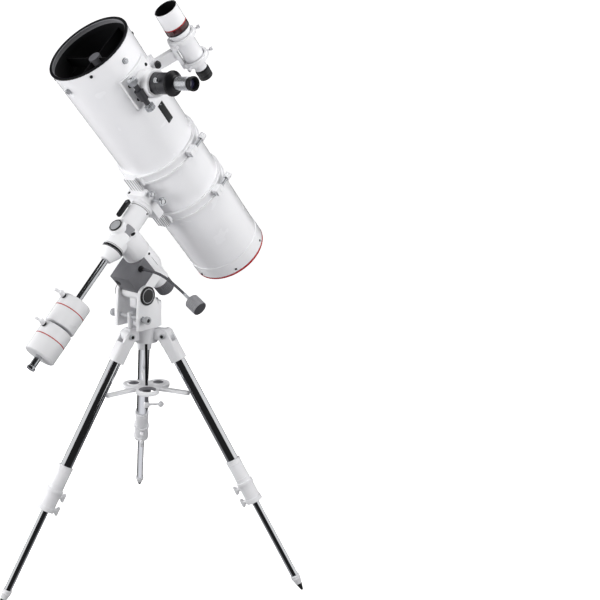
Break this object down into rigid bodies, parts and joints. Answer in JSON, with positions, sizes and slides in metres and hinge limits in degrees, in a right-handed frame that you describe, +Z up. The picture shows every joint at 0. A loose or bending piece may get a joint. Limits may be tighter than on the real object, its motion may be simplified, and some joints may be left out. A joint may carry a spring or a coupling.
{
  "type": "reflector telescope on equatorial tripod",
  "caption": "White Newtonian reflector telescope in hinged tube rings on a tilting equatorial head with counterweights, on a telescopic chrome tripod with a spreader tray.",
  "frame": {"origin": "middle of the object's outline on the floor, with the slow-motion cable left out", "axes": "+Z up; the polar axis leans in the XZ plane and points towards -X and up; -Y towards the eyepiece"},
  "size_m": [0.9371, 0.8478, 1.623],
  "materials": {
    "white_enamel": "gloss enamel",
    "white_casting": "white powder coat on castings",
    "light_grey_paint": "light grey powder coat on castings",
    "dark_grey_paint": "dark grey powder coat on castings",
    "black_anodised": "black anodised",
    "chrome": "polished",
    "steel": "brushed",
    "black_steel": "black oxide",
    "brass_gear": "machined",
    "black_plastic": "moulded, matte",
    "cable_rubber": "matte",
    "mirror_glass": "aluminised glass",
    "tray_paint": "light grey powder coat on castings"
  },
  "bodies": {
    "tripod_hub": {"tripod_hub": "light_grey_paint", "tripod_rod_and_bolts": "black_steel"},
    "spreader": {"spreader_tray": "tray_paint"},
    "spreader_handle": {"spreader_handle": "steel"},
    "leg_north": {"leg_north_casting": "light_grey_paint", "leg_north_tube": "chrome", "leg_north_clamp": "light_grey_paint"},
    "leg_north_extension": {"leg_north_lower_tube": "chrome", "leg_north_foot": "light_grey_paint"},
    "leg_front": {"leg_front_casting": "light_grey_paint", "leg_front_tube": "chrome", "leg_front_clamp": "light_grey_paint"},
    "leg_front_extension": {"leg_front_lower_tube": "chrome", "leg_front_foot": "light_grey_paint"},
    "leg_rear": {"leg_rear_casting": "light_grey_paint", "leg_rear_tube": "chrome", "leg_rear_clamp": "light_grey_paint"},
    "leg_rear_extension": {"leg_rear_lower_tube": "chrome", "leg_rear_foot": "light_grey_paint"},
    "azimuth_base": {"azimuth_base": "light_grey_paint", "latitude_pin": "black_plastic"},
    "azimuth_screws": {"azimuth_screws": "steel"},
    "latitude_screw": {"latitude_screw": "steel"},
    "ra_housing": {"ra_housing": "white_casting", "worm_cover": "dark_grey_paint", "polar_cap": "dark_grey_paint", "slow_motion_cable": "cable_rubber"},
    "ra_worm": {"ra_worm": "brass_gear"},
    "slow_motion_knob": {"slow_motion_knob": "black_plastic"},
    "dec_housing": {"dec_housing": "white_casting", "ra_shaft_and_wheel": "black_steel", "polar_sight_cap": "black_plastic", "dec_setting_circle": "black_anodised", "cone_nut": "white_enamel", "counterweight_bar": "chrome"},
    "counterweight_upper": {"counterweight_upper": "white_enamel", "counterweight_upper_screw": "chrome"},
    "counterweight_lower": {"counterweight_lower": "white_enamel", "counterweight_lower_screw": "chrome"},
    "dec_clutch_lever": {"dec_clutch_lever": "black_plastic"},
    "telescope": {"saddle": "white_casting", "dovetail_bar": "light_grey_paint", "saddle_screws": "chrome", "ring_lower_halves": "white_casting", "optical_tube": "white_enamel", "front_rim": "black_anodised", "mirror_cell": "white_casting", "primary_mirror": "mirror_glass", "spider_and_holder": "black_anodised", "diagonal_mirror": "mirror_glass", "focuser_body": "white_casting", "pinion_block": "black_plastic", "finder_tube": "white_enamel", "finder_optics": "black_plastic", "finder_bracket": "white_casting"},
    "ring_front_upper": {"ring_front_upper_half": "white_casting"},
    "ring_back_upper": {"ring_back_upper_half": "white_casting"},
    "drawtube": {"drawtube_and_holder": "dark_grey_paint"},
    "focus_knobs": {"focus_knobs": "steel"},
    "eyepiece": {"eyepiece": "black_plastic"}
  },
  "joints": [
    {"name": "leg_north_fold", "type": "hinge", "parent": "tripod_hub", "child": "leg_north", "pos_m": [-0.04111, 0.0574, 0.7127], "axis": [-0.1857, -0.9826, 0], "range_deg": [0, 15]},
    {"name": "leg_north_extend", "type": "slide", "parent": "leg_north", "child": "leg_north_extension", "axis": [-0.5105, 0.0965, -0.8544], "range_m": [-0.22, 0.1]},
    {"name": "leg_front_fold", "type": "hinge", "parent": "tripod_hub", "child": "leg_front", "pos_m": [0.04096, -0.01319, 0.7127], "axis": [0.9438, 0.3305, 0], "range_deg": [0, 15]},
    {"name": "leg_front_extend", "type": "slide", "parent": "leg_front", "child": "leg_front_extension", "axis": [0.1717, -0.4904, -0.8544], "range_m": [-0.22, 0.1]},
    {"name": "leg_rear_fold", "type": "hinge", "parent": "tripod_hub", "child": "leg_rear", "pos_m": [0.06106, 0.09318, 0.7127], "axis": [-0.7581, 0.6521, 0], "range_deg": [0, 15]},
    {"name": "leg_rear_extend", "type": "slide", "parent": "leg_rear", "child": "leg_rear_extension", "axis": [0.3388, 0.3939, -0.8544], "range_m": [-0.22, 0.1]},
    {"name": "spreader_turn", "type": "hinge", "parent": "tripod_hub", "child": "spreader", "pos_m": [0.0203, 0.0458, 0.545], "axis": [0, 0, 1], "range_deg": [0, 60]},
    {"name": "spreader_handle_turn", "type": "hinge", "parent": "spreader", "child": "spreader_handle", "pos_m": [0.0203, 0.0458, 0.52], "axis": [0, 0, 1], "continuous": true},
    {"name": "azimuth_turn", "type": "hinge", "parent": "tripod_hub", "child": "azimuth_base", "pos_m": [0.0203, 0.0458, 0.739], "axis": [0, 0, 1], "range_deg": [-10, 10]},
    {"name": "azimuth_screws_travel", "type": "slide", "parent": "azimuth_base", "child": "azimuth_screws", "axis": [0, 1, 0], "range_m": [-0.011, 0.011]},
    {"name": "latitude_tilt", "type": "hinge", "parent": "azimuth_base", "child": "ra_housing", "pos_m": [-0.0227, 0.0458, 0.837], "axis": [0, 1, 0], "range_deg": [-20, 8]},
    {"name": "latitude_screw_travel", "type": "slide", "parent": "azimuth_base", "child": "latitude_screw", "axis": [1, 0, 0], "range_m": [-0.0055, 0.013]},
    {"name": "slow_motion_knob_turn", "type": "hinge", "parent": "ra_housing", "child": "slow_motion_knob", "pos_m": [-0.0352, -0.1822, 0.85867], "axis": [0, -0.877, -0.4805], "continuous": true},
    {"name": "ra_worm_turn", "type": "hinge", "parent": "ra_housing", "child": "ra_worm", "pos_m": [-0.0352, 0.0458, 0.91437], "axis": [0, -1, 0], "continuous": true},
    {"name": "ra_turn", "type": "hinge", "parent": "ra_housing", "child": "dec_housing", "pos_m": [-0.0644, 0.0458, 1.0102], "axis": [-0.682, 0, 0.7314], "range_deg": [-60, 90]},
    {"name": "counterweight_upper_slide", "type": "slide", "parent": "dec_housing", "child": "counterweight_upper", "axis": [0.7314, 0, 0.682], "range_m": [-0.002, 0.1]},
    {"name": "counterweight_lower_slide", "type": "slide", "parent": "dec_housing", "child": "counterweight_lower", "axis": [0.7314, 0, 0.682], "range_m": [-0.028, 0.002]},
    {"name": "dec_lever_turn", "type": "hinge", "parent": "dec_housing", "child": "dec_clutch_lever", "pos_m": [-0.03317, 0.0598, 1.09401], "axis": [-0.682, 0, 0.7314], "range_deg": [-30, 30]},
    {"name": "dec_turn", "type": "hinge", "parent": "dec_housing", "child": "telescope", "pos_m": [-0.0644, 0.0458, 1.0102], "axis": [0.7314, 0, 0.682], "continuous": true},
    {"name": "ring_front_open", "type": "hinge", "parent": "telescope", "child": "ring_front_upper", "pos_m": [0.07258, 0.1768, 1.23912], "axis": [-0.682, 0, 0.7314], "range_deg": [0, 100]},
    {"name": "ring_back_open", "type": "hinge", "parent": "telescope", "child": "ring_back_upper", "pos_m": [0.18033, 0.1768, 1.12356], "axis": [-0.682, 0, 0.7314], "range_deg": [0, 100]},
    {"name": "focus_slide", "type": "slide", "parent": "telescope", "child": "drawtube", "axis": [0, -1, 0], "range_m": [-0.005, 0.04]},
    {"name": "focus_knob_turn", "type": "hinge", "parent": "telescope", "child": "focus_knobs", "pos_m": [-0.12445, -0.0952, 1.39175], "axis": [0.682, 0, -0.7314], "range_deg": [-32, 232]},
    {"name": "eyepiece_pull", "type": "slide", "parent": "drawtube", "child": "eyepiece", "axis": [0, -1, 0], "range_m": [0, 0.07]}
  ],
  "couplings": [
    {"joint": "leg_front_fold", "follows": "leg_north_fold", "ratio": 1},
    {"joint": "leg_rear_fold", "follows": "leg_north_fold", "ratio": 1},
    {"joint": "spreader_turn", "follows": "leg_north_fold", "ratio": 4},
    {"joint": "azimuth_screws_travel", "follows": "azimuth_turn", "m_per_rad": 0.062},
    {"joint": "latitude_screw_travel", "follows": "latitude_tilt", "m_per_rad": -0.036},
    {"joint": "ra_worm_turn", "follows": "slow_motion_knob_turn", "ratio": 1},
    {"joint": "focus_knob_turn", "follows": "focus_slide", "rad_per_m": 100}
  ]
}
